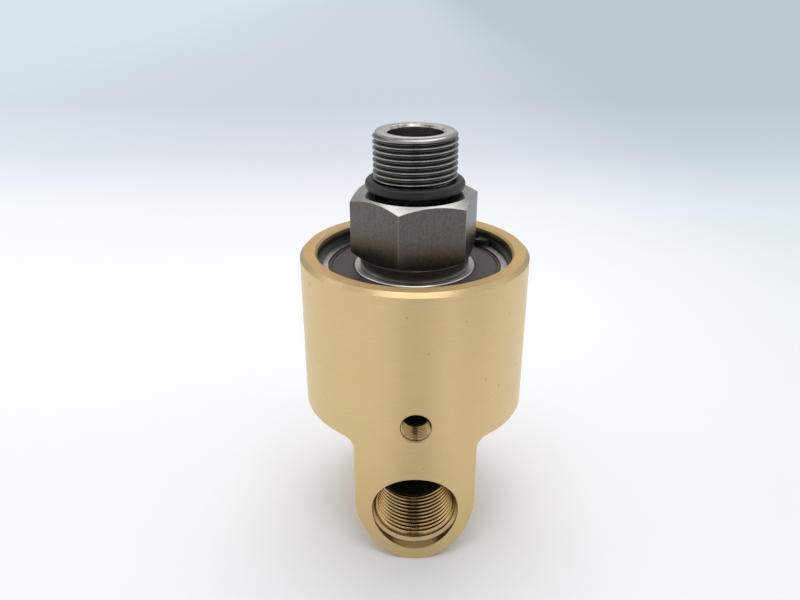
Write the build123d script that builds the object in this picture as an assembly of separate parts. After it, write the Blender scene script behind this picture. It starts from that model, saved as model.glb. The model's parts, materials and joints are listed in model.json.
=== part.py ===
from build123d import *
import os
from math import cos, radians, sin, tan

# Hydraulic rotary union.  A brass housing with a parallel-sided foot carries a hollow steel rotor on
# two sealed ball bearings; under them a spring-loaded floating seal closes on the rotor's hard face.
# Millimetres, +Z up.  Z is the axis of rotation, z = 0 the lowest point of the half-round foot, and
# both threaded ports open towards -Y.  Threads are plain cylinders at their major diameters.

# ---- housing, outside
BARREL_D = 74.0
BARREL_L = 52.3  # rim down to the shoulder over the foot
HOUSING_H = 96.0  # foot to rim
FOOT_W = 38.9  # across the foot's two flats; its underside is a half round of this width
SHOULDER_FILLET = 3.5
RIM_CHAMFER = 1.3

# ---- inlet port, G 3/4, through the front of the foot
PORT_THREAD_D = 26.44
PORT_DRILL_D = 24.12
PORT_DROP = 1.25  # port centre under the centre of the half round
PORT_SPOT_D = 28.0
PORT_SPOT_DEPTH = 3.5
PORT_LEAD_L = 0.95
PORT_THREAD_END = 24.4  # depth from the front of the barrel
DRILL_POINT_ANGLE = 118.0

# ---- drain port, G 1/8, through the barrel wall into the seal chamber
DRAIN_THREAD_D = 9.728
DRAIN_MOUTH_D = 10.15
DRAIN_LEAD_L = 0.4
DRAIN_THREAD_END = 8.0
DRAIN_DRILL_D = 8.6
DRAIN_ABOVE_FLOOR = 3.7

# ---- ball bearings, 30 x 62 x 16, sealed on both sides
BEARING_BORE = 30.0
BEARING_OD = 62.0
BEARING_W = 16.0
BEARING_CHAMFER = 0.8
BALL_D = 9.525
BALL_COUNT = 9
BALL_CIRCLE_D = (BEARING_BORE + BEARING_OD) / 2  # the balls run midway between bore and outside
BALL_GAP = 0.03
RACE_R = 4.95
OUTER_LAND_STEP = 4.05  # out from the ball circle
INNER_LAND_STEP = 3.3  # in from the ball circle
SEAL_POCKET_STEP = 1.05  # out from the outer land to the lip over the seal's bead
SEAL_GROOVE_STEP = 1.55
SEAL_GROOVE_TOP = 0.8  # these depths are measured in from the bearing's faces
SEAL_GROOVE_LOW = 1.9
SEAL_SINK = 0.45
SEAL_WEB_T = 1.0
SEAL_LIP_BEVEL = 0.25
SEAL_LIP_W = 0.8
SEAL_LIP_DEPTH = 1.9
SEAL_LIP_GAP = 0.08
SEAL_RIB_W = 0.4
SEAL_GAP = 0.05
CAGE_BAND = 2.1  # each way from the ball circle
CAGE_WALL = 0.8  # behind each pocket
CAGE_CLAW = 2.2  # above the balls' centres
CAGE_GAP = 0.1

# ---- bearing seat and retaining ring at the mouth of the housing
BEARING_RECESS = 5.1  # rim down to the upper bearing
SEAT_GAP = 0.01
MOUTH_D = 63.0
MOUTH_CHAMFER = 0.65
RING_T = 2.0
RING_BEAM = 2.2
RING_ECCENTRICITY = 0.4
RING_GROOVE_D = 65.0
RING_LUG_W = 14.0
RING_LUG_REACH = 5.8
RING_LUG_HOLE_D = 2.5
RING_LUG_TURN = 17.0  # each lug's centre from the middle of the gap, degrees
RING_GAP_TURN = 59.0
RING_SLACK = 0.1

# ---- seal chamber and the bores under it
CHAMBER_D = 57.0
CHAMBER_H = 11.4
SPRING_POCKET_D = 31.2
SPRING_POCKET_H = 5.5
SLEEVE_BORE_L = 6.6  # spring pocket floor down to the sleeve bore's floor
PASSAGE_D = 17.0

# ---- rotor
ROTOR_BORE_D = 17.5
ROTOR_MOUTH_D = 19.05
ROTOR_TAIL_L = 4.0  # shaft below the lower bearing
TAIL_CHAMFER = 0.4
NECK_D = 35.3
NECK_L = 4.0
HEX_AF = 36.5
HEX_L = 20.4  # neck to the hexagon's top face
HEX_TURN = 15.5
HEX_FACE_D = 35.0
HEX_CHAMFER_ANGLE = 30.0
UNDERCUT_D = 24.2
UNDERCUT_L = 4.2
THREAD_D = 26.44
THREAD_L = 14.6
THREAD_CHAMFER = 1.1
O_RING_SECTION = 3.53
O_RING_GAP = 0.05
O_RING_UP = 0.7  # over the hexagon's face

# ---- snap ring under the lower bearing
SNAP_T = 1.5
SNAP_GROOVE_D = 28.6
SNAP_BEAM = 3.0
SNAP_ECCENTRICITY = 0.5
SNAP_LUG_W = 5.0
SNAP_LUG_REACH = 4.9
SNAP_LUG_HOLE_D = 2.0
SNAP_LUG_TURN = 13.0
SNAP_SLACK = 0.05

# ---- hard face let into the rotor's lower end
HARD_FACE_D = 25.6
HARD_FACE_BORE_D = 18.0
HARD_FACE_T = 4.0
HARD_FACE_PROUD = 1.4
HARD_FACE_GAP = 0.05
HARD_FACE_STEP = 1.8  # square step behind it for its own O-ring
STEP_RING_SECTION = 1.7

# ---- floating seal
SEAL_FILM = 0.02
CARBON_D = 25.0
CARBON_BORE_D = 18.4
CARBON_NOSE_D = 23.0
CARBON_T = 3.4
CARBON_PROUD = 1.5
CARBON_GAP = 0.03
FLANGE_T = 2.6
SLEEVE_D = 24.0
SLEEVE_L = 12.4
SLEEVE_GAP = 0.05
CARRIER_BORE_D = 18.0
SLEEVE_GROOVE_UP = 1.2  # sleeve's end up to its groove
SLEEVE_RING_SECTION = 1.78
BACKUP_T = 1.2
RING_CLEARANCE = 0.02

# ---- seal spring and the two pins that stop the floating seal from turning
SPRING_D = 27.6
SPRING_WIRE_W = 1.9
SPRING_WIRE_T = 0.9
SPRING_TURNS = 3.5
PIN_D = 4.0
PIN_CIRCLE_D = 38.0
PIN_ENGAGED = 8.0
PIN_UP = 2.2  # into the flange
PIN_EDGE = 4.0  # pin centres in from the flange's edge
PIN_TURN = 60.0
PIN_GAP = 0.2

# ---- heights that follow from the stack
foot_r = FOOT_W / 2
barrel_r = BARREL_D / 2
rim_z = HOUSING_H
shoulder_z = rim_z - BARREL_L
port_z = foot_r - PORT_DROP
bearing_top = rim_z - BEARING_RECESS
bearing_joint = bearing_top - BEARING_W
seat_floor = bearing_joint - BEARING_W
chamber_floor = seat_floor - CHAMBER_H
spring_floor = chamber_floor - SPRING_POCKET_H
sleeve_floor = spring_floor - SLEEVE_BORE_L
drain_z = chamber_floor + DRAIN_ABOVE_FLOOR
tail_z = seat_floor - ROTOR_TAIL_L
neck_top = bearing_top + NECK_L
hex_top = neck_top + HEX_L
undercut_top = hex_top + UNDERCUT_L
thread_top = undercut_top + THREAD_L
hard_face_z = tail_z - HARD_FACE_PROUD
carbon_top = hard_face_z - SEAL_FILM
flange_top = carbon_top - CARBON_PROUD
flange_low = flange_top - FLANGE_T
sleeve_end = flange_low - SLEEVE_L


def turned(points):
    """A solid of revolution about Z from an outline of (radius, height) points."""
    return revolve(Plane.XZ * make_face(Polyline(*points, close=True)), Axis.Z)


def tube(outer_d, inner_d, low, high):
    """A plain ring between two heights."""
    return turned([(inner_d / 2, low), (outer_d / 2, low), (outer_d / 2, high), (inner_d / 2, high)])


def o_ring(inner_d, section, z):
    """A round-section ring with its centre plane at z."""
    return Pos(0, 0, z) * Torus((inner_d + section) / 2, section / 2)


def from_front(points, z):
    """A bore tool let in from the front of the barrel, its outline given as (radius, depth)."""
    return Pos(0, -barrel_r, z) * Rot(-90, 0, 0) * turned(points)


def on_circle(diameter, direction, count):
    """Places spread evenly on a circle about Z."""
    r = diameter / 2
    turns = [radians(direction + 360 * k / count) for k in range(count)]
    return [(r * cos(a), r * sin(a)) for a in turns]


# ------------------------------------------------------------------ housing


def housing_outside():
    """The barrel, milled to a round-ended foot of parallel flats below the shoulder."""
    over = BARREL_D + 2
    barrel = Pos(0, shoulder_z + BARREL_L / 2) * Rectangle(over, BARREL_L)
    foot = Pos(0, (foot_r + rim_z) / 2) * Rectangle(FOOT_W, rim_z - foot_r)
    outline = barrel + foot + Pos(0, foot_r) * Circle(foot_r)
    corners = [v for v in outline.vertices() if abs(v.Y - shoulder_z) < 0.01 and abs(v.X) < barrel_r]
    outline = fillet(corners, SHOULDER_FILLET)
    slab = extrude(Plane.XZ * outline, barrel_r + 1, both=True)
    bar = turned(
        [
            (0, 0),
            (barrel_r, 0),
            (barrel_r, rim_z - RIM_CHAMFER),
            (barrel_r - RIM_CHAMFER, rim_z),
            (0, rim_z),
        ]
    )
    return slab & bar


def housing_bores():
    """Everything bored from the top: mouth, ring groove, seat, chamber, pocket, sleeve and passage."""
    groove_top = bearing_top + RING_T + RING_SLACK
    mouth_r = MOUTH_D / 2
    seat_r = BEARING_OD / 2 + SEAT_GAP
    sleeve_r = SLEEVE_D / 2 + SLEEVE_GAP
    return turned(
        [
            (0, port_z),
            (PASSAGE_D / 2, port_z),
            (PASSAGE_D / 2, sleeve_floor),
            (sleeve_r, sleeve_floor),
            (sleeve_r, spring_floor),
            (SPRING_POCKET_D / 2, spring_floor),
            (SPRING_POCKET_D / 2, chamber_floor),
            (CHAMBER_D / 2, chamber_floor),
            (CHAMBER_D / 2, seat_floor),
            (seat_r, seat_floor),
            (seat_r, bearing_top),
            (RING_GROOVE_D / 2, bearing_top),
            (RING_GROOVE_D / 2, groove_top),
            (mouth_r, groove_top),
            (mouth_r, rim_z - MOUTH_CHAMFER),
            (mouth_r + 2 * MOUTH_CHAMFER, rim_z + MOUTH_CHAMFER),
            (0, rim_z + MOUTH_CHAMFER),
        ]
    )


def inlet_port():
    """Spot face, lead-in, thread and a drilled end that takes in the whole passage."""
    thread_r, drill_r = PORT_THREAD_D / 2, PORT_DRILL_D / 2
    thread_start = PORT_SPOT_DEPTH + PORT_LEAD_L
    drill_end = barrel_r + PASSAGE_D / 2
    point = drill_r / tan(radians(DRILL_POINT_ANGLE / 2))
    return from_front(
        [
            (0, -1),
            (PORT_SPOT_D / 2, -1),
            (PORT_SPOT_D / 2, PORT_SPOT_DEPTH),
            (thread_r, thread_start),
            (thread_r, PORT_THREAD_END),
            (drill_r, PORT_THREAD_END),
            (drill_r, drill_end),
            (0, drill_end + point),
        ],
        port_z,
    )


def drain_port():
    """A small tapped hole that leads any leakage out of the seal chamber."""
    mouth_r, thread_r, drill_r = DRAIN_MOUTH_D / 2, DRAIN_THREAD_D / 2, DRAIN_DRILL_D / 2
    inside = barrel_r - CHAMBER_D / 2 + 1
    return from_front(
        [
            (0, -1),
            (mouth_r, -1),
            (mouth_r, DRAIN_LEAD_L / 2),
            (thread_r, DRAIN_LEAD_L),
            (thread_r, DRAIN_THREAD_END),
            (drill_r, DRAIN_THREAD_END + thread_r - drill_r),
            (drill_r, inside),
            (0, inside),
        ],
        drain_z,
    )


def pins(diameter, high):
    """The two dowels up to a given height, or the holes that they are pressed into or pass through."""
    low = chamber_floor - PIN_ENGAGED
    bar = Pos(0, 0, (low + high) / 2) * Cylinder(diameter / 2, high - low)
    return [Pos(x, y) * bar for x, y in on_circle(PIN_CIRCLE_D, PIN_TURN, 2)]


def housing():
    body = housing_outside() - housing_bores() - inlet_port() - drain_port()
    return body - pins(PIN_D + 2 * SEAT_GAP, flange_low)


# ------------------------------------------------------------------ retaining rings


def lug(edge_r, reach, width, hole_d, turn, inward):
    """One round-ended lug of a retaining ring, with its plier hole."""
    tip_r = edge_r - reach if inward else edge_r + reach
    centre_r = tip_r + width / 2 if inward else tip_r - width / 2
    hole_r = tip_r + hole_d if inward else tip_r - hole_d
    shape = Pos(centre_r, 0) * Circle(width / 2) - Pos(hole_r, 0) * Circle(hole_d / 2)
    return Rot(0, 0, turn) * shape


def gap_wedge(reach, half_turn):
    """The open sector between two lugs."""
    x, y = reach * cos(radians(half_turn)), reach * sin(radians(half_turn))
    return make_face(Polyline((0, 0), (x, y), (x, -y), close=True))


def housing_retaining_ring():
    """Inner ring, narrowest beside its gap, that holds the bearings down in their seat."""
    edge_r = RING_GROOVE_D / 2 - RING_SLACK
    ring = Circle(edge_r) - Pos(RING_ECCENTRICITY, 0) * Circle(edge_r - RING_BEAM)
    half = RING_LUG_TURN - 0.82 * RING_LUG_W / 2 / edge_r * 57.3
    for turn in (-RING_LUG_TURN, RING_LUG_TURN):
        ring += lug(edge_r, RING_LUG_REACH, RING_LUG_W, RING_LUG_HOLE_D, turn, True) & Circle(edge_r)
    ring -= gap_wedge(2 * edge_r, half)
    flat = extrude(ring, RING_T)
    return Pos(0, 0, bearing_top) * Rot(0, 0, RING_GAP_TURN) * flat


def rotor_snap_ring():
    """Outer ring that keeps the lower inner ring on the shaft."""
    edge_r = SNAP_GROOVE_D / 2 + SNAP_SLACK
    ring = Pos(-SNAP_ECCENTRICITY, 0) * Circle(edge_r + SNAP_BEAM)
    for turn in (-SNAP_LUG_TURN, SNAP_LUG_TURN):
        ring += lug(edge_r, SNAP_LUG_REACH, SNAP_LUG_W, SNAP_LUG_HOLE_D, turn, False)
    ring -= Circle(edge_r)
    ring -= gap_wedge(2 * edge_r, SNAP_LUG_TURN / 2)
    return Pos(0, 0, seat_floor - SNAP_T) * extrude(ring, SNAP_T)


# ------------------------------------------------------------------ ball bearings


def race(bottom_r, side, z):
    """The torus that grinds a ball track: side is +1 for the outer ring's, -1 for the inner's."""
    return Pos(0, 0, z) * Torus(bottom_r - side * RACE_R, RACE_R)


def outer_ring(low):
    """Outer ring: two sealing grooves, lands, and the deep ball track between them."""
    high, mid = low + BEARING_W, low + BEARING_W / 2
    od, c = BEARING_OD / 2, BEARING_CHAMFER
    land = BALL_CIRCLE_D / 2 + OUTER_LAND_STEP
    pocket, groove = land + SEAL_POCKET_STEP, land + SEAL_GROOVE_STEP
    half = [
        (pocket, 0),
        (pocket, SEAL_GROOVE_TOP - SEAL_GAP),
        (groove, SEAL_GROOVE_TOP),
        (groove, SEAL_GROOVE_LOW),
        (land, SEAL_GROOVE_LOW + SEAL_GAP),
    ]
    bore = [(r, low + d) for r, d in half] + [(r, high - d) for r, d in reversed(half)]
    ring = turned([(od - c, low)] + bore + [(od - c, high), (od, high - c), (od, low + c)])
    return ring - race(BALL_CIRCLE_D / 2 + BALL_D / 2 + BALL_GAP, 1, mid)


def inner_ring(low):
    """Inner ring, with the ball track in its outside."""
    high, mid = low + BEARING_W, low + BEARING_W / 2
    bore, c = BEARING_BORE / 2 + SEAT_GAP, BEARING_CHAMFER
    land = BALL_CIRCLE_D / 2 - INNER_LAND_STEP
    ring = turned(
        [
            (bore + c, low),
            (land - c / 3, low),
            (land, low + c / 3),
            (land, high - c / 3),
            (land - c / 3, high),
            (bore + c, high),
            (bore, high - c),
            (bore, low + c),
        ]
    )
    return ring - race(BALL_CIRCLE_D / 2 - BALL_D / 2 - BALL_GAP, -1, mid)


def balls(low):
    """The loose balls of one bearing."""
    mid = low + BEARING_W / 2
    places = on_circle(BALL_CIRCLE_D, 0, BALL_COUNT)
    return Compound(children=[Pos(x, y, mid) * Sphere(BALL_D / 2) for x, y in places])


def cage(low):
    """A moulded crown cage: one ring with a round pocket for each ball, open on its upper side."""
    mid = low + BEARING_W / 2
    inside, outside = BALL_CIRCLE_D - 2 * CAGE_BAND, BALL_CIRCLE_D + 2 * CAGE_BAND
    pocket_r = BALL_D / 2 + CAGE_GAP
    places = on_circle(BALL_CIRCLE_D, 0, BALL_COUNT)
    ring = tube(outside, inside, mid - pocket_r - CAGE_WALL, mid + CAGE_CLAW)
    return ring - [Pos(x, y, mid) * Sphere(pocket_r) for x, y in places]


def bearing_seal(low, upper):
    """A contact seal: bead snapped into the outer ring, a rib, a flat web and a lip on the inner ring."""
    land = BALL_CIRCLE_D / 2 + OUTER_LAND_STEP
    bead_r = land + SEAL_GROOVE_STEP - SEAL_GAP
    lip_r = BALL_CIRCLE_D / 2 - INNER_LAND_STEP + SEAL_LIP_GAP
    rib_r, web_r = land + SEAL_POCKET_STEP - 1.5 * SEAL_RIB_W, lip_r + SEAL_LIP_W
    bead_top, bead_low = SEAL_GROOVE_TOP + 2 * SEAL_GAP, SEAL_GROOVE_LOW - SEAL_GAP
    web_low = SEAL_SINK + SEAL_WEB_T
    outline = [
        (lip_r, SEAL_SINK + SEAL_LIP_BEVEL),
        (lip_r + SEAL_LIP_BEVEL, SEAL_SINK),
        (rib_r - 2 * SEAL_RIB_W, SEAL_SINK),
        (rib_r - 2 * SEAL_RIB_W, SEAL_SINK + SEAL_RIB_W),
        (rib_r - SEAL_RIB_W, SEAL_SINK + SEAL_RIB_W),
        (rib_r - SEAL_RIB_W, SEAL_SINK),
        (rib_r, SEAL_SINK),
        (rib_r, bead_top),
        (bead_r, bead_top),
        (bead_r, bead_low),
        (rib_r - SEAL_RIB_W, bead_low),
        (rib_r - 2 * SEAL_RIB_W, web_low),
        (web_r + SEAL_RIB_W, web_low),
        (lip_r, SEAL_LIP_DEPTH),
    ]
    face = low + BEARING_W if upper else low
    sign = -1 if upper else 1
    return turned([(r, face + sign * depth) for r, depth in outline])


# ------------------------------------------------------------------ rotor


def hexagon():
    """The wrench hexagon, its corners cut back by a cone above and another below."""
    corner_r = HEX_AF / 2 / cos(radians(30)) + 1
    face_r, neck_r = HEX_FACE_D / 2, NECK_D / 2
    slope = tan(radians(HEX_CHAMFER_ANGLE))
    faced = turned(
        [
            (0, neck_top),
            (neck_r, neck_top),
            (corner_r, neck_top + (corner_r - neck_r) * slope),
            (corner_r, hex_top - (corner_r - face_r) * slope),
            (face_r, hex_top),
            (0, hex_top),
        ]
    )
    prism = extrude(RegularPolygon(HEX_AF / 2, 6, major_radius=False), HEX_L)
    return Pos(0, 0, neck_top) * Rot(0, 0, HEX_TURN) * prism & faced


def rotor():
    """Shaft, neck, hexagon and threaded end in one piece, bored right through."""
    shaft_r, thread_r = BEARING_BORE / 2, THREAD_D / 2
    undercut_r, groove_r = UNDERCUT_D / 2, SNAP_GROOVE_D / 2
    bore_r, mouth_r = ROTOR_BORE_D / 2, ROTOR_MOUTH_D / 2
    recess_r = HARD_FACE_D / 2 + HARD_FACE_GAP
    recess_top = hard_face_z + HARD_FACE_T
    run_out = thread_r - undercut_r
    body = turned(
        [
            (bore_r, recess_top),
            (recess_r, recess_top),
            (recess_r, tail_z),
            (shaft_r - TAIL_CHAMFER, tail_z),
            (shaft_r, tail_z + TAIL_CHAMFER),
            (shaft_r, seat_floor - SNAP_T - SNAP_SLACK),
            (groove_r, seat_floor - SNAP_T - SNAP_SLACK),
            (groove_r, seat_floor),
            (shaft_r, seat_floor),
            (shaft_r, bearing_top),
            (NECK_D / 2, bearing_top),
            (NECK_D / 2, neck_top + 1),
            (undercut_r, neck_top + 1),
            (undercut_r, undercut_top),
            (thread_r, undercut_top + run_out),
            (thread_r, thread_top - THREAD_CHAMFER),
            (thread_r - THREAD_CHAMFER, thread_top),
            (mouth_r, thread_top),
            (bore_r, thread_top + bore_r - mouth_r),
        ]
    )
    return body + (hexagon() - Pos(0, 0, neck_top) * Cylinder(bore_r + 1, 3 * HEX_L))


def rotor_thread_o_ring():
    """The O-ring that seals the threaded end, stretched over the undercut above the hexagon."""
    middle = hex_top + O_RING_UP + O_RING_SECTION / 2
    return o_ring(UNDERCUT_D + 2 * O_RING_GAP, O_RING_SECTION, middle)


def rotor_hard_face():
    """Lapped ring let into the rotor's end; a step behind it leaves room for its O-ring."""
    r, top = HARD_FACE_D / 2, hard_face_z + HARD_FACE_T
    return turned(
        [
            (HARD_FACE_BORE_D / 2, hard_face_z),
            (r, hard_face_z),
            (r, top - HARD_FACE_STEP),
            (r - HARD_FACE_STEP, top - HARD_FACE_STEP),
            (r - HARD_FACE_STEP, top),
            (HARD_FACE_BORE_D / 2, top),
        ]
    )


def hard_face_o_ring():
    """The static ring in that step."""
    inner_d = HARD_FACE_D - 2 * HARD_FACE_STEP + 2 * HARD_FACE_GAP
    return o_ring(inner_d, STEP_RING_SECTION, hard_face_z + HARD_FACE_T - HARD_FACE_STEP / 2)


# ------------------------------------------------------------------ floating seal


def floating_seal_carrier():
    """Flange and sleeve in one piece: a socket for the carbon, two pin holes and the ring groove."""
    sleeve_r, bore_r = SLEEVE_D / 2, CARRIER_BORE_D / 2
    socket_r = CARBON_D / 2 + CARBON_GAP
    socket_floor = carbon_top - CARBON_T
    groove_low = sleeve_end + SLEEVE_GROOVE_UP
    groove_high = groove_low + SLEEVE_RING_SECTION + BACKUP_T + 4 * RING_CLEARANCE
    groove_r = sleeve_r + SLEEVE_GAP - RING_CLEARANCE - SLEEVE_RING_SECTION - RING_CLEARANCE
    flange_r = PIN_CIRCLE_D / 2 + PIN_EDGE
    body = turned(
        [
            (bore_r, sleeve_end),
            (sleeve_r - TAIL_CHAMFER, sleeve_end),
            (sleeve_r, sleeve_end + TAIL_CHAMFER),
            (sleeve_r, groove_low),
            (groove_r, groove_low),
            (groove_r, groove_high),
            (sleeve_r, groove_high),
            (sleeve_r, flange_low),
            (flange_r, flange_low),
            (flange_r, flange_top),
            (socket_r, flange_top),
            (socket_r, socket_floor),
            (bore_r, socket_floor),
        ]
    )
    return body - pins(PIN_D + 2 * PIN_GAP, flange_top + PIN_D)


def floating_seal_carbon():
    """The carbon face ring, its nose narrowed to the sealing width."""
    low = carbon_top - CARBON_T
    return turned(
        [
            (CARBON_BORE_D / 2, low),
            (CARBON_D / 2, low),
            (CARBON_D / 2, flange_top),
            (CARBON_NOSE_D / 2, flange_top + (CARBON_D - CARBON_NOSE_D) / 4),
            (CARBON_NOSE_D / 2, carbon_top),
            (CARBON_BORE_D / 2, carbon_top),
        ]
    )


def sleeve_rings():
    """The sliding O-ring, and above it the harder ring that stops it from being squeezed out."""
    outer_d = SLEEVE_D + 2 * SLEEVE_GAP - 2 * RING_CLEARANCE
    inner_d = outer_d - 2 * SLEEVE_RING_SECTION
    low = sleeve_end + SLEEVE_GROOVE_UP + RING_CLEARANCE
    soft_top = low + SLEEVE_RING_SECTION
    soft = o_ring(inner_d, SLEEVE_RING_SECTION, low + SLEEVE_RING_SECTION / 2)
    hard = tube(outer_d, inner_d, soft_top + RING_CLEARANCE, soft_top + RING_CLEARANCE + BACKUP_T)
    return soft, hard


def seal_spring():
    """A flat-wire coil spring round the sleeve, ground flat at both ends."""
    length = flange_low - spring_floor
    rise = length - SPRING_WIRE_T / 2
    path = Helix(rise / SPRING_TURNS, rise, SPRING_D / 2)
    start = Plane(origin=path @ 0, x_dir=(1, 0, 0), z_dir=path % 0)
    wire = sweep(start * Rectangle(SPRING_WIRE_W, SPRING_WIRE_T), path, is_frenet=True)
    room = tube(SPRING_D + 2 * SPRING_WIRE_W, SPRING_D - 2 * SPRING_WIRE_W, 0, length)
    return Pos(0, 0, spring_floor) * (Pos(0, 0, SPRING_WIRE_T / 4) * wire & room)


# ------------------------------------------------------------------ the assembly, one file a node

o_ring_soft, o_ring_hard = sleeve_rings()
pieces = {
    "housing": housing(),
    "housing_retaining_ring": housing_retaining_ring(),
    "anti_rotation_pins": Compound(children=pins(PIN_D, flange_low + PIN_UP)),
    "rotor": rotor(),
    "rotor_thread_o_ring": rotor_thread_o_ring(),
    "rotor_snap_ring": rotor_snap_ring(),
    "rotor_hard_face": rotor_hard_face(),
    "hard_face_o_ring": hard_face_o_ring(),
    "floating_seal_carrier": floating_seal_carrier(),
    "floating_seal_carbon": floating_seal_carbon(),
    "floating_seal_o_ring": o_ring_soft,
    "floating_seal_backup_ring": o_ring_hard,
    "seal_spring": seal_spring(),
}
for place, low in (("upper", bearing_joint), ("lower", seat_floor)):
    pieces[f"{place}_bearing_outer_ring"] = outer_ring(low)
    pieces[f"{place}_bearing_inner_ring"] = inner_ring(low)
    pieces[f"{place}_bearing_balls"] = balls(low)
    pieces[f"{place}_bearing_cage"] = cage(low)
    pieces[f"{place}_bearing_top_seal"] = bearing_seal(low, True)
    pieces[f"{place}_bearing_bottom_seal"] = bearing_seal(low, False)

os.makedirs("parts", exist_ok=True)
for name, shape in pieces.items():
    export_step(shape, f"parts/{name}.step")
print(f"{len(pieces)} nodes, rim at {rim_z:.1f}, rotor ends at {thread_top:.1f}")
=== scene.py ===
# %% [markdown]
# # A hydraulic rotary union, dressed for its portrait
#
# A brass housing is bolted to a pipe and stands still. A hollow steel rotor turns in it on two sealed
# ball bearings, so that oil can pass from a fixed line into a machine that spins. The solid model
# already holds every piece at its real size. This lesson adds what a solid model leaves out: the
# screw threads, the rounded edges, and the finish that each tool left on each metal.
#
# The first cell loads the imported model.

import json
from math import pi, radians, tan

import bpy
import numpy as np
from mathutils import Euler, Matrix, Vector


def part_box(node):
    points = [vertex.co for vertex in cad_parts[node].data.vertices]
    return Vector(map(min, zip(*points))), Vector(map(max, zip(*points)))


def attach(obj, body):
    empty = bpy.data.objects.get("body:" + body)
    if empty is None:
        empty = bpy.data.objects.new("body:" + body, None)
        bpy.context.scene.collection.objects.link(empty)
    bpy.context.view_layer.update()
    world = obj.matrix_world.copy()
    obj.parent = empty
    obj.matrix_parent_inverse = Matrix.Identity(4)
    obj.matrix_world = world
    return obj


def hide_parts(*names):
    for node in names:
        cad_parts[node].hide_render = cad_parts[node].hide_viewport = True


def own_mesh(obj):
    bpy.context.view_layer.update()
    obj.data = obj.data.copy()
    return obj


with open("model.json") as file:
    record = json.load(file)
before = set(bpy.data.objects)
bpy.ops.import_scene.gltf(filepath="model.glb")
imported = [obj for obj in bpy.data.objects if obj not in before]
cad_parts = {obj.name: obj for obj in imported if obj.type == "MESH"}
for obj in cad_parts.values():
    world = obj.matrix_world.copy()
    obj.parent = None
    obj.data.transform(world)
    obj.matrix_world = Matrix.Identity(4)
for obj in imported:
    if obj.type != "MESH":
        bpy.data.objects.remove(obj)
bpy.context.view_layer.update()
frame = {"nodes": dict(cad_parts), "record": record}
MM = 0.001
bpy.context.scene.view_settings.view_transform = "Standard"

# %% [markdown]
# ## From a grid of points to a mesh
#
# Nearly every new piece here is turned on a lathe, so it can be described as a grid: rows follow the
# outline that the tool cut, and columns go round the axis. Modelling by hand with Spin would work too,
# but a grid is exact, it closes on itself without a seam, and numpy fills it in one go. The signed
# volume tells whether the faces point outwards, so no face ever has to be flipped by hand.

# %% A closed grid becomes a mesh
def grid_mesh(name, points):
    """Points is an array of rows x columns x 3, closed in both directions like a ring.

    Each face joins a point to its right, upper right and upper neighbours. The volume enclosed is one
    third of the sum over faces of centre dot area vector, and a negative one turns all faces round.
    """
    rows, cols = points.shape[:2]
    corner = np.arange(rows * cols).reshape(rows, cols)
    right, above = np.roll(corner, -1, 1), np.roll(corner, -1, 0)
    faces = np.stack([corner, right, np.roll(above, -1, 1), above], -1).reshape(-1, 4)
    flat = points.reshape(-1, 3)
    a, b, c, d = (flat[faces[:, k]] for k in range(4))
    volume = np.einsum("ij,ij->", (a + b + c + d) / 4, np.cross(c - a, d - b)) / 6
    if volume < 0:
        faces = faces[:, ::-1]
    mesh = bpy.data.meshes.new(name)
    mesh.vertices.add(len(flat))
    mesh.vertices.foreach_set("co", flat.astype(np.float32).ravel())
    mesh.loops.add(faces.size)
    mesh.loops.foreach_set("vertex_index", faces.astype(np.int32).ravel())
    mesh.polygons.add(len(faces))
    mesh.polygons.foreach_set("loop_start", np.arange(0, faces.size, 4, dtype=np.int32))
    mesh.polygons.foreach_set("use_smooth", np.ones(len(faces), bool))
    mesh.update(calc_edges=True)
    piece = bpy.data.objects.new(name, mesh)
    bpy.context.scene.collection.objects.link(piece)
    print(f"{name}: {len(faces)} faces, {abs(volume) * 1e6:.2f} cubic centimetres")
    return piece


# %% [markdown]
# Real edges are never knife sharp: a file, a brush or a tumbling drum breaks them, and the thin bright
# line that they catch is what makes metal look like metal. A Bevel modifier could do this, but on a
# grid it is simpler to bend each corner of the outline into a small curve before the piece is turned.

# %% Break the corners of an outline, and turn it
def softened(outline, breaks, steps=3):
    """Replaces each inner corner of an outline by a quadratic curve between points beside it.

    Outline is corners x columns x 2 and breaks one distance per corner. With A before and B after the
    corner P, the curve is (1-t)^2 A + 2t(1-t) P + t^2 B, and one more point on either side, at twice
    the distance, holds the flats flat. On a short side both stay within its nearer half.
    """
    point, before, after = outline[1:-1], outline[:-2], outline[2:]
    size = np.asarray(breaks, float)[1:-1, None, None]

    def beside(other, far):
        way = other - point
        length = np.linalg.norm(way, axis=-1, keepdims=True)
        return point + way * np.minimum(far * size / length, 0.24 * far)

    a, b = beside(before, 1), beside(after, 1)
    rows = [beside(before, 2)]
    for t in np.linspace(0, 1, steps + 1):
        rows.append((1 - t) ** 2 * a + 2 * t * (1 - t) * point + t**2 * b)
    rows.append(beside(after, 2))
    inner = np.stack(rows, 1).reshape(-1, *outline.shape[1:])
    return np.concatenate([outline[:1], inner, outline[-1:]])


def turn_about_z(outline, turns):
    """Radius and height become x = r cos(turn), y = r sin(turn), z = height."""
    radius, height = outline[..., 0], outline[..., 1]
    return np.stack([radius * np.cos(turns), radius * np.sin(turns), height], -1)


zigzag = np.array([[0, 0], [1, 0], [1, 1], [2, 1]], float)[:, None]
print("an outline of 4 points becomes one of", len(softened(zigzag, [0.1] * 4)))

# %% [markdown]
# ## The pipe thread
#
# Both large threads are G 3/4 and the drain is G 1/8: a V of 55 degrees with a rounded crest and root.
# A spiral Screw modifier would need a separate coil that is then joined to the shaft. Here the thread
# is only a change of radius: how deep the cutter went at each height, shifted by one pitch a turn.

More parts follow.
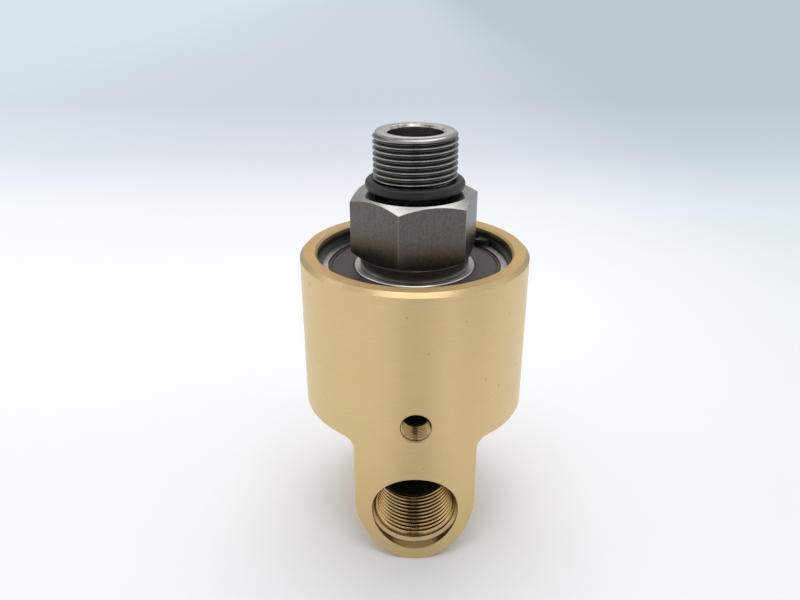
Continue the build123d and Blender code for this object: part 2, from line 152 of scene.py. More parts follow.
# %% The depth of a 55 degree thread
PITCH_34, PITCH_18 = 25.4 / 14 * MM, 25.4 / 28 * MM
FULL_DEPTH, ARC_RADIUS = 0.640327, 0.137329  # shares of the pitch
FLANK_LEAN = radians(27.5)


def thread_depth(along, pitch):
    """Depth under the crest, for a distance along the axis from a crest.

    Fold the distance into half a pitch. Within 0.122 pitch of the crest the depth is that of an arc of
    radius 0.137 pitch, within 0.122 pitch of the root it is the same arc turned over, and between them
    it is a straight flank that leans 27.5 degrees from square.
    """
    arc, total = ARC_RADIUS * pitch, FULL_DEPTH * pitch
    edge = arc * np.cos(FLANK_LEAN)
    t = np.abs((along + pitch / 2) % pitch - pitch / 2)
    crest = arc - np.sqrt(np.maximum(arc**2 - t**2, 0))
    root = total - arc + np.sqrt(np.maximum(arc**2 - (pitch / 2 - t) ** 2, 0))
    flank = arc * (1 - np.sin(FLANK_LEAN)) + (t - edge) / np.tan(FLANK_LEAN)
    return np.where(t < edge, crest, np.where(t > pitch / 2 - edge, root, flank))


for pitch in (PITCH_34, PITCH_18):
    print(f"pitch {pitch / MM:.3f} mm, depth {float(thread_depth(pitch / 2, pitch)) / MM:.3f} mm")

# %% [markdown]
# ## The rotor
#
# One bar of steel, bored through: a shaft for the two bearings, a neck, a hexagon for the wrench, a
# groove for the O-ring and the threaded end. Every row of its grid is an outline point, and every
# column has its own outline, because the hexagon is wider at its corners than at its flats. The cone
# that the lathe cuts on the hexagon then meets the flats in the curved edges seen on any nut.

# %% Sizes of the rotor, read from the model where it shows them
low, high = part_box("rotor")
ring_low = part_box("rotor_thread_o_ring")[0]
bearing_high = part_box("upper_bearing_inner_ring")[1]
snap_low, snap_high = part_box("rotor_snap_ring")
RECESS_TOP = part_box("rotor_hard_face")[1].z
TAIL, THREAD_TOP = low.z, high.z
NECK_LOW, HEX_TOP = bearing_high.z, ring_low.z - 0.7 * MM
NECK_TOP = NECK_LOW + 4.0 * MM
UNDERCUT_TOP = HEX_TOP + 4.2 * MM
SHAFT_R, NECK_R, SNAP_R = 15 * MM, 17.65 * MM, 14.3 * MM
UNDERCUT_R, THREAD_R = 12.1 * MM, 13.22 * MM
BORE_R, MOUTH_R, RECESS_R = 8.75 * MM, 9.525 * MM, 12.85 * MM
TAIL_CHAMFER, THREAD_CHAMFER = 0.4 * MM, 1.1 * MM
HEX_R, HEX_FACE_R = 18.25 * MM, 17.5 * MM  # half across the flats, and the round face on top
HEX_TURN, HEX_EDGE = radians(15.5), 0.25 * MM  # where its first corner points, and how round it is
HEX_CONE = tan(radians(30))
THREAD_START = -0.83 * MM  # slides the thread along until its last crest ends where it should
THREAD_ROWS, RUN_OUT = 130, 2.5  # the run-out is the slope on which the thread leaves the groove
print("rotor from", round(TAIL / MM, 2), "to", round(THREAD_TOP / MM, 2))


# %% The hexagon with its corners broken
def from_corner(turns):
    """The angle from the nearest corner of the hexagon, negative on one side and positive on the other."""
    return (turns - HEX_TURN + pi / 6) % (pi / 3) - pi / 6


def hexagon_radius(turns):
    """Distance from the axis to a hexagon whose corners are arcs.

    With u the angle to the nearest corner, the flat lies at apothem / cos(30 degrees - u). The arc of
    radius e round a centre at c = (apothem - e) / cos(30) lies at c cos u + sqrt(e^2 - c^2 sin^2 u).
    """
    corner = from_corner(turns)
    centre = (HEX_R - HEX_EDGE) / np.cos(pi / 6)
    ends = np.arctan2(HEX_EDGE * np.sin(pi / 6), centre + HEX_EDGE * np.cos(pi / 6))
    flat = HEX_R / np.cos(pi / 6 - np.abs(corner))
    inside = np.maximum(HEX_EDGE**2 - (centre * np.sin(corner)) ** 2, 0)
    arc = centre * np.cos(corner) + np.sqrt(inside)
    return np.where(np.abs(corner) < ends, arc, flat)


EVEN_COLUMNS = 180
NEAR_CORNER = np.radians([-1.1, -0.44, -0.3, -0.15, 0, 0.15, 0.3, 0.44, 1.1])  # extra columns there
corner_turns = HEX_TURN + np.arange(6)[:, None] * pi / 3 + NEAR_CORNER
even_turns = np.arange(EVEN_COLUMNS) * pi / (EVEN_COLUMNS / 2)
rotor_turns = np.sort(np.concatenate([even_turns, corner_turns.ravel() % (2 * pi)]))
hexed = hexagon_radius(rotor_turns)
hex_low_edge = NECK_TOP + (hexed - NECK_R) * HEX_CONE
hex_top_edge = HEX_TOP - (hexed - HEX_FACE_R) * HEX_CONE
print(len(rotor_turns), "columns round the rotor")


# %% The rotor's outline, one for each column
def rotor_outline():
    """Corners from the thread's chamfer in through the bore, out round the tail and up to the groove.

    Each corner is a radius, a height, and how far its edge is broken in millimetres.
    """
    corners = [
        (THREAD_R - THREAD_CHAMFER, THREAD_TOP, 0),
        (MOUTH_R, THREAD_TOP, 0.1),
        (BORE_R, THREAD_TOP + BORE_R - MOUTH_R, 0.1),
        (BORE_R, RECESS_TOP, 0.1),
        (RECESS_R, RECESS_TOP, 0.1),
        (RECESS_R, TAIL, 0.1),
        (SHAFT_R - TAIL_CHAMFER, TAIL, 0.1),
        (SHAFT_R, TAIL + TAIL_CHAMFER, 0.1),
        (SHAFT_R, snap_low.z, 0.05),
        (SNAP_R, snap_low.z, 0.05),
        (SNAP_R, snap_high.z, 0.05),
        (SHAFT_R, snap_high.z, 0.05),
        (SHAFT_R, NECK_LOW, 0.1),
        (NECK_R, NECK_LOW, 0.25),
        (NECK_R, NECK_TOP, 0.3),
        (hexed, hex_low_edge, 0.15),
        (hexed, hex_top_edge, 0.08),
        (HEX_FACE_R, HEX_TOP, 0.08),
        (UNDERCUT_R, HEX_TOP, 0.3),
        (UNDERCUT_R, UNDERCUT_TOP, 0),
    ]
    wide = np.ones_like(rotor_turns)
    outline = np.array([[r * wide, z * wide] for r, z, _ in corners]).transpose(0, 2, 1)
    return softened(outline, [b * MM for _, _, b in corners])


def outside_thread():
    """Radius is the thread's, but never outside the two cones at its ends."""
    rows = np.linspace(UNDERCUT_TOP, THREAD_TOP, THREAD_ROWS + 2)[1:-1, None]
    along = rows - THREAD_START - PITCH_34 * rotor_turns / (2 * pi)
    radius = THREAD_R - thread_depth(along, PITCH_34)
    radius = np.minimum(radius, THREAD_R - THREAD_CHAMFER + THREAD_TOP - rows)
    radius = np.minimum(radius, UNDERCUT_R + (rows - UNDERCUT_TOP) * RUN_OUT)
    return np.stack([radius, rows + 0 * radius], -1)


outline = np.concatenate([rotor_outline(), outside_thread()])
rotor = grid_mesh("machined_rotor", turn_about_z(outline, rotor_turns))
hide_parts("rotor")
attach(rotor, "rotor")

# %% [markdown]
# One bar of steel shows several finishes: bar skin on the flats and a bright faced top, and shade is
# painted in as darker colour in the thread's grooves and on the neck. They could be separate materials on
# separate faces, but then they would meet in hard steps. Each is stored instead as one number for every
# vertex, which the material reads.

# %% Mark the rotor's surfaces
def mark(piece, name, values):
    """Stores one number for each vertex, for a material to read through an Attribute node."""
    layer = piece.data.attributes.new(name, "FLOAT", "POINT")
    layer.data.foreach_set("value", np.asarray(values, np.float32).ravel())


def fading(values, start, end):
    """0 before the start, 1 past the end and a straight slope between."""
    return np.clip((values - start) / (end - start), 0, 1)


HAIR = 0.01 * MM
radius, height = outline[..., 0], outline[..., 1]
bar_skin = (height > hex_low_edge) & (height < hex_top_edge) & (radius > hexed - 2 * HAIR)
thinned = fading(np.abs(from_corner(rotor_turns)), radians(-0.9), radians(0.5))  # skin worn at corners
in_thread = (height > UNDERCUT_TOP) & (height < THREAD_TOP - 0.7 * MM) & (radius > UNDERCUT_R - 0.1 * MM)
surfaces = {
    "drawn": bar_skin * thinned,
    # groove: painted shade in the thread's grooves, which leaves its crests bright
    "groove": in_thread * fading(THREAD_R - radius, 0, 0.16 * MM),
    "faced": (np.abs(height - HEX_TOP) < HAIR) & (radius < HEX_FACE_R),
    # painted shade on the neck under the hexagon
    "dull": (radius > SHAFT_R) & (height > NECK_LOW - HAIR) & (height < NECK_TOP + 0.4 * MM),
    "end_face": fading(height, THREAD_TOP - 0.3 * MM, THREAD_TOP - 0.1 * MM) * (radius > MOUTH_R),
    "mouth": (height > THREAD_TOP - 0.8 * MM) & (radius < MOUTH_R + 2 * HAIR),
}
for name, values in surfaces.items():
    mark(rotor, name, values)
    print(name, "covers", int(np.count_nonzero(values)), "vertices")

# %% [markdown]
# ## The tapped ports
#
# The solid housing already has both ports bored to the diameter at the bottom of their threads. What
# is missing is the metal that the tap leaves standing, so each thread is a thin sleeve whose back is
# buried in the wall. It could be cut into the housing with a Boolean, but a sleeve keeps the housing's
# own clean surfaces, and its ridges can be faded out where the countersink cut them away.

# %% A tapped sleeve
mounts = {mount["name"]: mount for mount in frame["record"]["mounts"]}
inlet, drain = mounts["inlet_port"], mounts["drain_port"]
FRONT = -37 * MM  # the foremost line of the barrel
ROWS_PER_PITCH = 16
BURIED, SKIN = 0.08 * MM, 0.004 * MM  # the back lies inside the wall, and the roots just clear of it
LAST_SLOPE = 2  # on which the thread runs out at its deep end


def tapped_sleeve(name, mount, pitch, first, cone, last, columns):
    """A ring about the -Y direction whose inside is a thread, centred on a mount of the record.

    Depth runs inwards from first to last. The radius is root - (full depth - depth under the crest),
    and never inside the countersink, a cone that narrows by its slope from the first depth.
    """
    root = mount["dims"]["r_mm"] * MM
    turns = np.arange(columns) * 2 * pi / columns
    rows = np.linspace(first, last, int((last - first) / pitch * ROWS_PER_PITCH))[:, None]
    full = FULL_DEPTH * pitch
    radius = root - full + thread_depth(rows + pitch * turns / (2 * pi), pitch)
    radius = np.maximum(radius, root - (rows - first) * cone)
    radius = np.maximum(radius, root - (last - rows) * LAST_SLOPE)
    back = np.full((2, columns), root + BURIED)
    depth = np.concatenate([rows + 0 * radius, [[last] * columns, [first] * columns]])
    radius = np.concatenate([np.minimum(radius, root - SKIN), back])
    x = radius * np.cos(turns)
    z = mount["pos_m"][2] + radius * np.sin(turns)
    piece = grid_mesh(name, np.stack([x, FRONT + depth, z], -1))
    # groove holds painted shade for the thread's roots
    mark(piece, "groove", np.clip((radius - root) / full * 1.6 + 1, 0, 1))
    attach(piece, "housing")
    return piece


inlet_thread = tapped_sleeve("inlet_thread", inlet, PITCH_34, 4.45 * MM, 0.84, 24.3 * MM, 160)
drain_thread = tapped_sleeve("drain_thread", drain, PITCH_18, 0.42 * MM, 0.9, 7.9 * MM, 80)

# %% [markdown]
# ## A copy of the spring
#
# The floating seal slides down by 1.5 mm and presses on its spring. A solid model can only show the
# spring at one length, so the carrier would cut into the top coil. A copy of the spring's own mesh
# takes the place of the solid one, still at that one length.

# %% The seal spring, copied
seal_spring = bpy.data.objects.new("coiled_seal_spring", frame["nodes"]["seal_spring"].data.copy())
bpy.context.scene.collection.objects.link(seal_spring)
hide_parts("seal_spring")
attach(seal_spring, "housing")
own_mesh(seal_spring)

# %% [markdown]
# ## Finishes
#
# Each material starts from a Principled shader. Its colour, roughness and bump come from noise that is
# read in object coordinates, so a finish stays on its piece when the rotor turns. Turned metal gets
# noise squeezed along the axis into thin rings, milled metal gets straight strokes, and rubber gets a
# fine even grain. Wiring nodes by hand in the editor gives the same; a few helpers keep it readable.

# %% Helpers that wire up nodes
def feed(tree, socket, value):
    """Links a socket to an output, or sets it to a number, a vector or a colour."""
    if isinstance(value, bpy.types.NodeSocket):
        tree.links.new(value, socket)
    elif socket.type == "RGBA":
        socket.default_value = (*value, 1)
    else:
        socket.default_value = value


def node(tree, kind, inputs=None, **settings):
    """One node, with its settings made and its inputs fed."""
    made = tree.nodes.new("ShaderNode" + kind)
    for key, value in settings.items():
        setattr(made, key, value)
    for key, value in (inputs or {}).items():
        feed(tree, made.inputs[key], value)
    return made


def maths(tree, operation, *values):
    return node(tree, "Math", dict(enumerate(values)), operation=operation).outputs[0]


def times(tree, first, *others):
    for other in others:
        first = maths(tree, "MULTIPLY", first, other)
    return first


def between(tree, share, one, two):
    """Two numbers mixed by a share from 0 to 1."""
    return node(tree, "Mix", {0: share, 2: one, 3: two}).outputs[0]


def mixed(tree, share, one, two, blend="MIX"):
    """Two colours mixed by a share from 0 to 1."""
    return node(tree, "Mix", {0: share, 6: one, 7: two}, data_type="RGBA", blend_type=blend).outputs[2]


def ramp(tree, value, start, end):
    """0 before the start and 1 past the end, with a smooth step between."""
    inputs = {"Value": value, "From Min": start, "From Max": end}
    return node(tree, "MapRange", inputs, interpolation_type="SMOOTHSTEP").outputs[0]


# %% Helpers that read a place, a noise or a mark
EVEN = (1, 1, 1)


def place(tree, kind="Object"):
    """X, y and z of the point, in the piece's own coordinates."""
    return node(tree, "SeparateXYZ", {0: node(tree, "TexCoord").outputs[kind]}).outputs


def axis_distance(tree, one, other):
    """Distance from an axis: the root of the sum of the squares of two lengths across it."""
    return maths(tree, "SQRT", maths(tree, "ADD", times(tree, one, one), times(tree, other, other)))


def grain(tree, stretch, scale=1.0, detail=3.0):
    """Noise read in object coordinates that are first stretched: a large number packs it tight."""
    inputs = {"Vector": node(tree, "TexCoord").outputs["Object"], "Scale": stretch}
    mapped = node(tree, "Mapping", inputs).outputs[0]
    return node(tree, "TexNoise", {"Vector": mapped, "Scale": scale, "Detail": detail}).outputs[0]


def spread(tree, value, low=0.0, high=1.0):
    """Maps noise, which stays near one half, onto a range of numbers."""
    inputs = {"Value": value, "From Min": 0.3, "From Max": 0.7, "To Min": low, "To Max": high}
    return node(tree, "MapRange", inputs).outputs[0]


def marked(tree, name):
    """What mark() stored on the mesh under that name."""
    return node(tree, "Attribute", attribute_name=name).outputs["Fac"]


# %% A colour, and a material from its parts
def srgb(*levels):
    """The linear colour of 8-bit display levels, by the usual 2.4 power curve with its straight foot."""
    v = np.array(levels) / 255
    linear = np.where(v <= 0.04045, v / 12.92, ((v + 0.055) / 1.055) ** 2.4)
    return tuple(float(x) for x in linear)


def new_material(name):
    """Returns a material, its node tree and its Principled shader."""
    material = bpy.data.materials.new(name)
    material.use_nodes = True
    return material, material.node_tree, material.node_tree.nodes["Principled BSDF"]


def finish(tree, shader, color, metallic, roughness, height=None, depth=0.01 * MM):
    """Feeds the shader, and turns a height into a bump of that depth in metres."""
    feed(tree, shader.inputs["Base Color"], color)
    feed(tree, shader.inputs["Metallic"], metallic)
    feed(tree, shader.inputs["Roughness"], roughness)
    if height is not None:
        bump = node(tree, "Bump", {"Height": height, "Distance": depth, "Strength": 1.0})
        feed(tree, shader.inputs["Normal"], bump.outputs[0])


print("half way up the display's scale is", round(srgb(128)[0], 3), "of full light")

# %% [markdown]
# ### Turned brass
#
# The housing is bright brass straight from the lathe. The tool leaves rings so fine that they only
# spread the reflection up and down, which is why such a barrel shows soft upright bands. The shader
# says this with anisotropy about the Z axis; a slow noise adds the faint pink and green of fresh brass.
#
# Inside, deep in the port and the drain and on the barrel's wall under the rim, shade is painted in:
# the brass is darker there, and deep in the port also less metallic. That could be a second material,
# but the housing is one piece of the solid model, so masks find those walls by where they are: how far
# from the axis of the port, the drain or the barrel, and how deep.

# %% Where shade is painted on the brass
PORT_WALL, DEEP_IN_PORT = (13.9 * MM, 13.3 * MM), (FRONT + 22 * MM, FRONT + 26 * MM)
DRAIN_WALL, DEEP_IN_DRAIN = (5.3 * MM, 4.9 * MM), (FRONT + 7.0 * MM, FRONT + 7.8 * MM)
MOUTH_WALL, UNDER_RIM, OVER_CHAMBER = (32.6 * MM, 31.9 * MM), (95.2 * MM, 93.5 * MM), (60 * MM, 70 * MM)
BEFORE_BACK = (30 * MM, 25 * MM)  # the painted shade fades out before it would reach the back of the foot


def painted_wall_shade(tree):
    """Two masks of painted shade: walls deep in the port, and all walls painted darker, with drill hole
    and mouth.
    """
    x, y, z = place(tree)
    inside_foot = ramp(tree, y, *BEFORE_BACK)
    port = axis_distance(tree, x, maths(tree, "SUBTRACT", z, inlet["pos_m"][2]))
    deep = times(tree, ramp(tree, port, *PORT_WALL), ramp(tree, y, *DEEP_IN_PORT), inside_foot)
    hole = axis_distance(tree, x, maths(tree, "SUBTRACT", z, drain["pos_m"][2]))
    drilled = times(tree, ramp(tree, hole, *DRAIN_WALL), ramp(tree, y, *DEEP_IN_DRAIN), inside_foot)
    mouth = ramp(tree, axis_distance(tree, x, y), *MOUTH_WALL)
    mouth = times(tree, mouth, ramp(tree, z, *UNDER_RIM), ramp(tree, z, *OVER_CHAMBER))
    return deep, maths(tree, "MAXIMUM", maths(tree, "MAXIMUM", deep, mouth), drilled)


print("painted_shades begin", round((DEEP_IN_PORT[0] - FRONT) / MM, 1), "mm into the port")

# %% Brass
BRASS_PINK, BRASS_GREEN, BRASS_PIT = srgb(212, 184, 140), srgb(207, 185, 133), srgb(130, 100, 66)
BRASS_RIM, BRASS_PAINTED_SHADE = srgb(200, 170, 120), srgb(86, 82, 68)


def turned_brass():
    """Fine rings, slow clouds of tone and a few pits; faces that look up are rougher, less metallic and a
    little darker.
    """
    material, tree, shader = new_material("turned_brass")
    shader.inputs["Anisotropic"].default_value = 0.6
    tangent = node(tree, "Tangent", direction_type="RADIAL", axis="Z").outputs[0]
    feed(tree, shader.inputs["Tangent"], tangent)
    rings = grain(tree, (60, 60, 9000), detail=2)
    cloud = grain(tree, EVEN, 55, 4)
    pits = ramp(tree, grain(tree, EVEN, 480, 1), 0.765, 0.79)
    normal = node(tree, "NewGeometry").outputs["Normal"]
    upward = ramp(tree, node(tree, "SeparateXYZ", {0: normal}).outputs[2], 0.8, 0.97)
    deep, painted_shade = painted_wall_shade(tree)
    tone = mixed(tree, spread(tree, cloud), BRASS_PINK, BRASS_GREEN)
    tone = mixed(tree, times(tree, pits, 0.4), tone, BRASS_PIT)
    tone = mixed(tree, upward, tone, BRASS_RIM)
    # painted shade: darker brass deep in the port and drain and on the wall under the rim, less metallic
    # deep in the port
    tone = mixed(tree, painted_shade, tone, BRASS_PAINTED_SHADE)
    bare = between(tree, maths(tree, "MAXIMUM", deep, upward), 1.0, 0.45)
    rough = maths(tree, "ADD", spread(tree, rings, 0.26, 0.36), times(tree, upward, 0.5))
    finish(tree, shader, tone, bare, rough, rings, 0.004 * MM)
    return material


def tapped_brass():
    """Cut by the tap and never touched again: brighter, and with no rings about the upright axis."""
    material, tree, shader = new_material("tapped_brass")
    fine = grain(tree, EVEN, 2600, 2)
    tone = mixed(tree, spread(tree, fine), srgb(206, 174, 120), srgb(218, 186, 132))
    # painted shade: the roots of the thread are dark brown
    tone = mixed(tree, marked(tree, "groove"), tone, srgb(86, 60, 38))
    finish(tree, shader, tone, 1.0, spread(tree, fine, 0.13, 0.2), fine, 0.002 * MM)
    return material


finishes = {"housing_brass": turned_brass()}
tapped = tapped_brass()
print("made", finishes["housing_brass"].name, "and", tapped.name)

# %% [markdown]
# ### Steel
#
# The rotor is turned from hexagon bar. The lathe leaves bright rings, and the six flats keep the matt,
# lightly streaked skin of the bar. Shade is painted in as darker colour in the grooves of the thread
# and on the neck under the hexagon. The numbers stored on the mesh say which is which. The small steel
# pieces share one simpler recipe, ground or polished, and differ only in how light and how rough they are.

# %% Steel
def machined_steel():
    """Each mark on the rotor mixes its own colour, and where it differs its own roughness."""
    material, tree, shader = new_material("machined_steel")
    rings = grain(tree, (100, 100, 7000), detail=2)
    strokes = grain(tree, (2500, 2500, 90))
    specks = grain(tree, EVEN, 1500, 2)
    cloud = grain(tree, EVEN, 90, 4)
    drawn = marked(tree, "drawn")
    skin = mixed(tree, spread(tree, specks), srgb(84, 80, 77), srgb(108, 103, 98))
    skin = mixed(tree, spread(tree, strokes, 0, 0.5), skin, srgb(114, 109, 104))
    streaks = spread(tree, grain(tree, (420, 420, 20), detail=2))
    streaks = mixed(tree, streaks, srgb(120, 116, 112), srgb(240, 238, 232))
    tone = mixed(tree, spread(tree, cloud), srgb(166, 163, 158), srgb(180, 177, 173))
    # painted shade: the thread's grooves are darker than its crests
    tone = mixed(tree, marked(tree, "groove"), tone, srgb(98, 98, 90))
    # painted shade: the neck under the hexagon is darker
    tone = mixed(tree, marked(tree, "dull"), tone, srgb(138, 134, 126))
    tone = mixed(tree, marked(tree, "mouth"), tone, streaks)
    tone = mixed(tree, drawn, tone, skin)
    rough = between(tree, marked(tree, "faced"), spread(tree, rings, 0.22, 0.32), 0.15)
    rough = between(tree, marked(tree, "end_face"), rough, 0.5)
    rough = between(tree, drawn, rough, spread(tree, strokes, 0.28, 0.38))
    finish(tree, shader, tone, 1.0, rough, between(tree, drawn, rings, strokes), 0.003 * MM)
    return material


def ground_steel(name, color, roughness):
    material, tree, shader = new_material(name)
    rings = grain(tree, (80, 80, 5000), detail=2)
    rough = spread(tree, rings, roughness * 0.8, roughness * 1.2)
    finish(tree, shader, color, 1.0, rough, rings, 0.002 * MM)
    return material


finishes |= {
    "rotor_steel": machined_steel(),
    "bearing_steel": ground_steel("ground_bearing_steel", srgb(196, 193, 188), 0.32),
    "ball_steel": ground_steel("polished_ball_steel", srgb(215, 215, 215), 0.06),
    "spring_steel": ground_steel("blued_spring_steel", srgb(70, 72, 70), 0.38),
    "hardened_pin": ground_steel("hardened_pin_steel", srgb(170, 168, 165), 0.22),
    "stainless": ground_steel("turned_stainless", srgb(190, 188, 184), 0.28),
    "hard_face": ground_steel("lapped_hard_face", srgb(95, 95, 98), 0.12),
}
print(len(finishes), "finishes so far")

# %% [markdown]
# ### Rubber, carbon and plastic
#
# Nothing here is as even as it seems. A moulded seal or O-ring has a fine grain, slightly lighter on
# its peaks, and that grain is what keeps its soft highlight from looking like glass. A shader of one
# flat colour would be quicker, and would look like a drawing of rubber.

# %% Rubber and plastic
def rubber(name, color, roughness):
    material, tree, shader = new_material(name)
    fine = grain(tree, EVEN, 1500)
    peaks = tuple(min(1, c * 1.25) for c in color)
    tone = mixed(tree, spread(tree, fine), color, peaks)
    rough = spread(tree, fine, roughness * 0.85, roughness * 1.15)
    finish(tree, shader, tone, 0.0, rough, fine)
    return material


finishes |= {
    "carbon": rubber("lapped_carbon", srgb(46, 45, 46), 0.4),
    "black_rubber": rubber("black_nitrile", srgb(19, 18, 16), 0.45),
    "seal_rubber": rubber("brown_seal_rubber", srgb(63, 51, 45), 0.5),
    "cage_plastic": rubber("moulded_cage_plastic", srgb(196, 184, 150), 0.5),
    "backup_plastic": rubber("white_backup_plastic", srgb(228, 226, 220), 0.4),
}
print(len(finishes), "finishes in all")


# %% Put the finishes on the pieces
def dress(piece, material):
    piece.data.materials.clear()
    piece.data.materials.append(material)


slots = {part["node"]: part["material_slot"] for part in frame["record"]["subparts"]}
for name, piece in frame["nodes"].items():
    dress(piece, finishes[slots[name]])
dress(rotor, finishes["rotor_steel"])
dress(seal_spring, finishes["stainless"])
dress(inlet_thread, tapped)
dress(drain_thread, tapped)
print(len(frame["nodes"]), "nodes and 4 new pieces dressed")

# %% [markdown]
# ## The paper under it
#
# The part stands on a wide sheet of white paper that runs on into a cool grey distance. A curved
# backdrop would do that too, but a flat sheet shows no edge from any side. Near the part the paper is
# lit by the lamps and takes the shadow. Further back it glows by itself, so that its grey is chosen
# and doesn't depend on the lamps.
#
# Metal sees the same paper in its reflections. Whoever looks at a polished thing stands in front of it
# and hides some of the light, so the paper is dimmer there, but only in reflections.

# %% A square of paper
PAPER_REACH = 9.0


def paper_square():
    """A wide square at the height of the part's lowest point."""
    r = PAPER_REACH
    mesh = bpy.data.meshes.new("paper_floor")
    mesh.from_pydata([(-r, -r, 0), (r, -r, 0), (r, r, 0), (-r, r, 0)], [], [(0, 1, 2, 3)])
    paper = bpy.data.objects.new("paper_floor", mesh)
    bpy.context.scene.collection.objects.link(paper)
    return paper


paper = paper_square()
print("paper", 2 * PAPER_REACH, "metres wide")

# %% The colours of the paper
WHITE = (1, 1, 1)
LIT_PAPER, PAPER_PAINTED_SHADE_RIGHT, PAPER_PAINTED_LIGHT_LEFT = (0.94, 0.94, 0.96), (0.76, 0.81, 0.83), (1.1, 1.14, 1.12)
SEEN_BY_METAL = [
    (0.385, WHITE),
    (0.44, (0.76, 0.76, 0.77)),
    (0.57, (0.76, 0.76, 0.77)),
    (0.63, WHITE),
    (0.69, WHITE),
    (0.75, (0.86, 0.86, 0.87)),
]
TOWARDS_THE_BACK = [
    (0.0, (1.02, 1.02, 1.02)),
    (0.1, (0.97, 1.0, 1.03)),
    (0.24, (0.76, 0.8, 0.85)),
    (0.45, (0.66, 0.71, 0.77)),
    (1.0, (0.66, 0.72, 0.79)),
]


def stops(tree, value, start, end, levels):
    """A colour ramp from start to end: levels is a list of a place from 0 to 1 and its colour."""
    share = node(tree, "MapRange", {"Value": value, "From Min": start, "From Max": end}).outputs[0]
    band = node(tree, "ValToRGB", {0: share})
    while len(band.color_ramp.elements) < len(levels):
        band.color_ramp.elements.new(1.0)
    for element, (spot, color) in zip(band.color_ramp.elements, levels):
        element.position = spot
        element.color = (*color, 1)
    return band.outputs[0]


print(len(SEEN_BY_METAL), "colours round the part,", len(TOWARDS_THE_BACK), "towards the back")


# %% White paper
def white_paper():
    """Lit paper near the part, which turns into a plain cool grey further back; shade is painted on its
    right.

    What metal sees is read from the angle round the part, arctan(x / -y), of the point of paper.
    """
    material, tree, shader = new_material("white_paper")
    shader.inputs["Specular IOR Level"].default_value = 0.0
    x, y, _ = place(tree)
    ahead = times(tree, y, -1.0)
    reflected = stops(tree, maths(tree, "ARCTAN2", x, ahead), -pi / 2, pi / 2, SEEN_BY_METAL)
    reflected = mixed(tree, ramp(tree, ahead, 0.04, 0.09), WHITE, reflected)
    # painted shade: the paper is darker and cooler towards the right
    paper_with_painted_shade = mixed(tree, ramp(tree, x, 0.04, 0.34), LIT_PAPER, PAPER_PAINTED_SHADE_RIGHT)
    glossy = node(tree, "LightPath").outputs["Is Glossy Ray"]
    finish(tree, shader, mixed(tree, glossy, paper_with_painted_shade, reflected), 0.0, 0.9)
    distant = stops(tree, y, 0.2, 1.6, TOWARDS_THE_BACK)
    distant = mixed(tree, 1.0, distant, paper_with_painted_shade, "MULTIPLY")
    # painted light: the glowing paper is lighter far on the left
    painted_light_left = mixed(tree, ramp(tree, x, -0.1, -0.8), WHITE, PAPER_PAINTED_LIGHT_LEFT)
    distant = mixed(tree, 1.0, distant, painted_light_left, "MULTIPLY")
    glow = node(tree, "Emission", {0: distant, 1: 1.0}).outputs[0]
    surface = node(tree, "MixShader", {0: ramp(tree, y, 0.12, 0.34), 1: shader.outputs[0], 2: glow})
    feed(tree, tree.nodes["Material Output"].inputs[0], surface.outputs[0])
    return material


dress(paper, white_paper())
print("dressed", paper.name)

# %% [markdown]
# ## Lamps
#
# Four soft lamps: a large one above and behind, which draws the shadow forwards and lights the paper,
# a long strip above the front for the bright line on the rim, and a weak one at each side. Area lamps
# are used because a point lamp would show in metal as a hard white dot.

# %% Lamps
def lamp(name, position, aim, size, power):
    """A rectangular lamp; power is in watts for each square metre of its own face."""
    data = bpy.data.lights.new(name, "AREA")
    data.shape = "RECTANGLE"
    data.size, data.size_y = size
    data.energy = power * size[0] * size[1]
    thing = bpy.data.objects.new(name, data)
    thing.location = position
    thing.rotation_euler = (Vector(aim) - Vector(position)).to_track_quat("-Z", "Y").to_euler()
    bpy.context.scene.collection.objects.link(thing)
    print(f"{name}: {data.energy:.2f} watts")


MIDDLE, RIM = (0, 0, 0.07), (0, 0, 0.09)
lamp("overhead_softbox", (0.05, 0.5, 1.05), MIDDLE, (1.0, 0.9), 5.6)
lamp("front_strip", (0, -0.36, 1.1), RIM, (0.9, 0.22), 9.0)
lamp("left_softbox", (-1.2, 0.1, 0.8), MIDDLE, (0.6, 0.6), 2.6)
lamp("right_softbox", (1.2, 0.1, 0.8), MIDDLE, (0.5, 0.5), 1.8)

# %% [markdown]
# ## The room
#
# Metal shows its surroundings more than its own colour, so the surroundings are part of the finish.
# The room is a plain light grey, a little darker low down at the back, with the dark shape of a viewer
# in front. That shape gives the upright dark bands on the steel and in the port. A full environment
# map would do the same, but a few smooth steps of direction are easier to place.

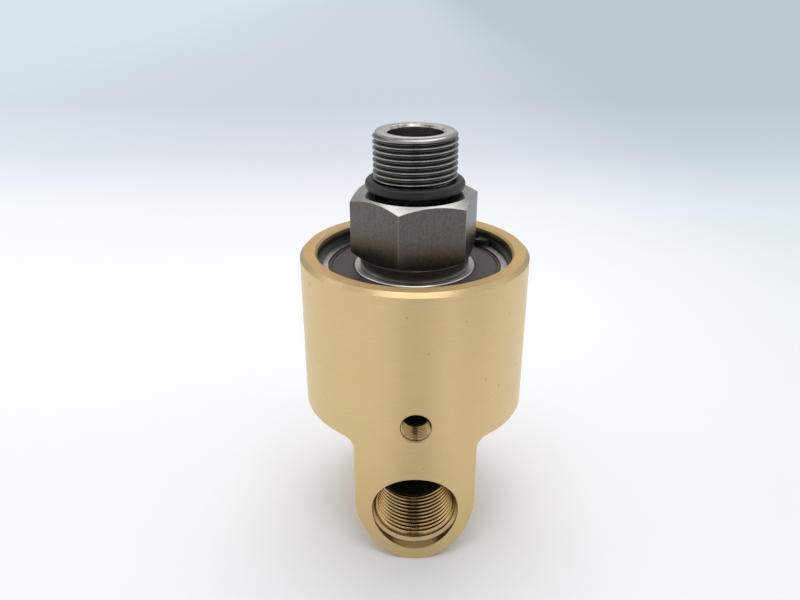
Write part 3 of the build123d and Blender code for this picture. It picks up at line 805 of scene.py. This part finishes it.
# %% World
ROOM, LOW_BACK, VIEWER = (0.66, 0.67, 0.69), (0.52, 0.53, 0.55), (0.08, 0.08, 0.08)
FAR_PAPER = srgb(212, 220, 228)


def room_world():
    """What the metal sees in each direction; the camera itself sees the colour of far paper.

    The viewer covers directions that point to -Y and not far aside, fades out above, and has a narrow
    lighter gap down the middle, as between an arm and a body.
    """
    world = bpy.data.worlds.new("room")
    bpy.context.scene.world = world
    world.use_nodes = True
    tree = world.node_tree
    x, y, z = place(tree, "Generated")
    aside = maths(tree, "ABSOLUTE", x)
    viewer = times(tree, ramp(tree, aside, 0.28, 0.1), ramp(tree, y, -0.1, -0.3), ramp(tree, z, 0.95, 0.8))
    gap = {"Value": aside, "From Min": 0.01, "From Max": 0.03, "To Min": 0.5}
    viewer = times(tree, viewer, node(tree, "MapRange", gap).outputs[0])
    low_back = times(tree, ramp(tree, y, 0.4, 0.9), ramp(tree, z, 0.8, 0.4))
    seen = mixed(tree, low_back, ROOM, LOW_BACK)
    seen = mixed(tree, viewer, seen, VIEWER)
    seen = mixed(tree, node(tree, "LightPath").outputs["Is Camera Ray"], seen, FAR_PAPER)
    background = tree.nodes["Background"].inputs
    feed(tree, background["Color"], seen)
    feed(tree, background["Strength"], 1.0)
    return world


print("world:", room_world().name)

# %% [markdown]
# ## Camera
#
# It stands a quarter of a metre away and looks down by 24.5 degrees, so close that the upright sides of
# the barrel draw together towards the bottom. A longer lens from further off would keep them parallel.

# %% Camera
LENS, SENSOR = 33.85, 36  # millimetres
LOOKS_DOWN, TURNED = radians(24.54), radians(-0.22)
camera_data = bpy.data.cameras.new("camera")
camera_data.lens, camera_data.sensor_width = LENS, SENSOR
camera = bpy.data.objects.new("camera", camera_data)
camera.location = (-5.59 * MM, -228.73 * MM, 181.9 * MM)
camera.rotation_euler = Euler((pi / 2 - LOOKS_DOWN, 0, TURNED))
bpy.context.scene.collection.objects.link(camera)
bpy.context.scene.camera = camera
print(f"camera {(camera.location - Vector(MIDDLE)).length:.3f} metres from the part's middle")
